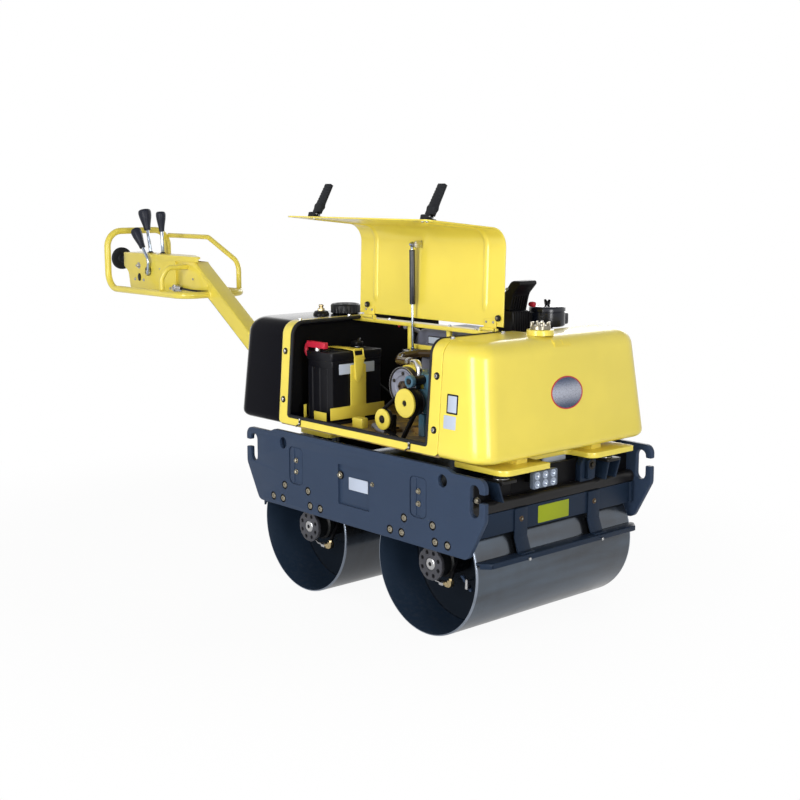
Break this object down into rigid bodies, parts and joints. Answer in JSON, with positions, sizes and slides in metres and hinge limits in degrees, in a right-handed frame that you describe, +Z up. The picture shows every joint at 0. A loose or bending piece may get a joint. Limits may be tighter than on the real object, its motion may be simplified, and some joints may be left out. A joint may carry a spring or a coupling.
{
  "type": "double drum walk-behind roller",
  "caption": "Walk-behind double drum roller with side plates, tanks at both ends, a hinged side hood over the engine bay and a folding tiller with a loop handle.",
  "frame": {"origin": "bottom centre of the machine's box, on the ground", "axes": "+X towards the machine's front, away from the tiller; +Y to its left; +Z up"},
  "size_m": [2.436, 0.71, 1.2359],
  "materials": {
    "yellow": "gloss paint",
    "frame_blue": "satin paint",
    "black": "satin black",
    "drum_steel": "worn steel",
    "rubber": "matte",
    "zinc": "zinc plated",
    "grey": "painted casting",
    "pump_blue": "satin paint",
    "lens": "clear lens over reflectors"
  },
  "bodies": {
    "machine": {"air_cleaner": "black", "battery": "black", "battery_holder": "yellow", "clutch_pulley": "yellow", "door_frame": "yellow", "drum_carrier_front_left": "black", "drum_carrier_front_right": "black", "drum_carrier_rear_left": "black", "drum_carrier_rear_right": "black", "engine_block": "grey", "engine_shroud": "grey", "filler_cap": "yellow", "floor_tray": "yellow", "flywheel": "grey", "front_beam": "black", "front_cross_plate": "frame_blue", "front_tank": "yellow", "hinge_frame": "yellow", "idler_pulley": "yellow", "left_panel": "yellow", "muffler_guard": "black", "pump": "pump_blue", "rear_beam": "black", "rear_cross_plate": "frame_blue", "rear_tank": "black", "rear_tank_breather": "black", "rear_tank_cap": "black", "rubber_mount_front_left": "rubber", "rubber_mount_front_right": "rubber", "rubber_mount_rear_left": "rubber", "rubber_mount_rear_right": "rubber", "scraper_front": "frame_blue", "scraper_rear": "frame_blue", "side_plate_left": "frame_blue", "side_plate_right": "frame_blue", "tiller_bracket": "frame_blue", "upper_frame": "yellow", "work_lamp": "lens"},
    "front_drum": {"front_drum": "drum_steel"},
    "rear_drum": {"rear_drum": "drum_steel"},
    "tiller": {"tiller_tube": "yellow", "handle_loop": "yellow", "side_guard": "yellow", "loop_brace": "yellow", "console": "yellow", "stop_pad": "black", "lever_right": "black", "lever_rear": "black", "lever_front": "black"},
    "hood": {"hood": "yellow", "hood_latch_front": "rubber", "hood_latch_rear": "rubber"},
    "strut_tube": {"strut_tube": "black"},
    "strut_rod": {"strut_rod": "zinc"}
  },
  "joints": [
    {"name": "front_drum_spin", "type": "hinge", "parent": "machine", "child": "front_drum", "pos_m": [0.962, 0, 0.2], "axis": [0, 1, 0], "continuous": true},
    {"name": "rear_drum_spin", "type": "hinge", "parent": "machine", "child": "rear_drum", "pos_m": [0.412, 0, 0.2], "axis": [0, 1, 0], "continuous": true},
    {"name": "tiller_fold", "type": "hinge", "parent": "machine", "child": "tiller", "pos_m": [0.037, 0, 0.468], "axis": [0, 1, 0], "range_deg": [0, 50]},
    {"name": "hood_hinge", "type": "hinge", "parent": "machine", "child": "hood", "pos_m": [0.687, -0.052, 0.835], "axis": [1, 0, 0], "range_deg": [0, 91.6]},
    {"name": "strut_tube_turn", "type": "hinge", "parent": "hood", "child": "strut_tube", "pos_m": [0.619, -0.065, 1.067], "axis": [1, 0, 0], "range_deg": [-20.99, 0.5]},
    {"name": "strut_rod_slide", "type": "slide", "parent": "strut_tube", "child": "strut_rod", "axis": [0, -0.0092, 1], "range_m": [0, 0.0926]}
  ],
  "couplings": [
    {"joint": "strut_tube_turn", "follows": "hood_hinge", "ratio": -0.22368},
    {"joint": "strut_rod_slide", "follows": "hood_hinge", "m_per_rad": 0.057286}
  ]
}
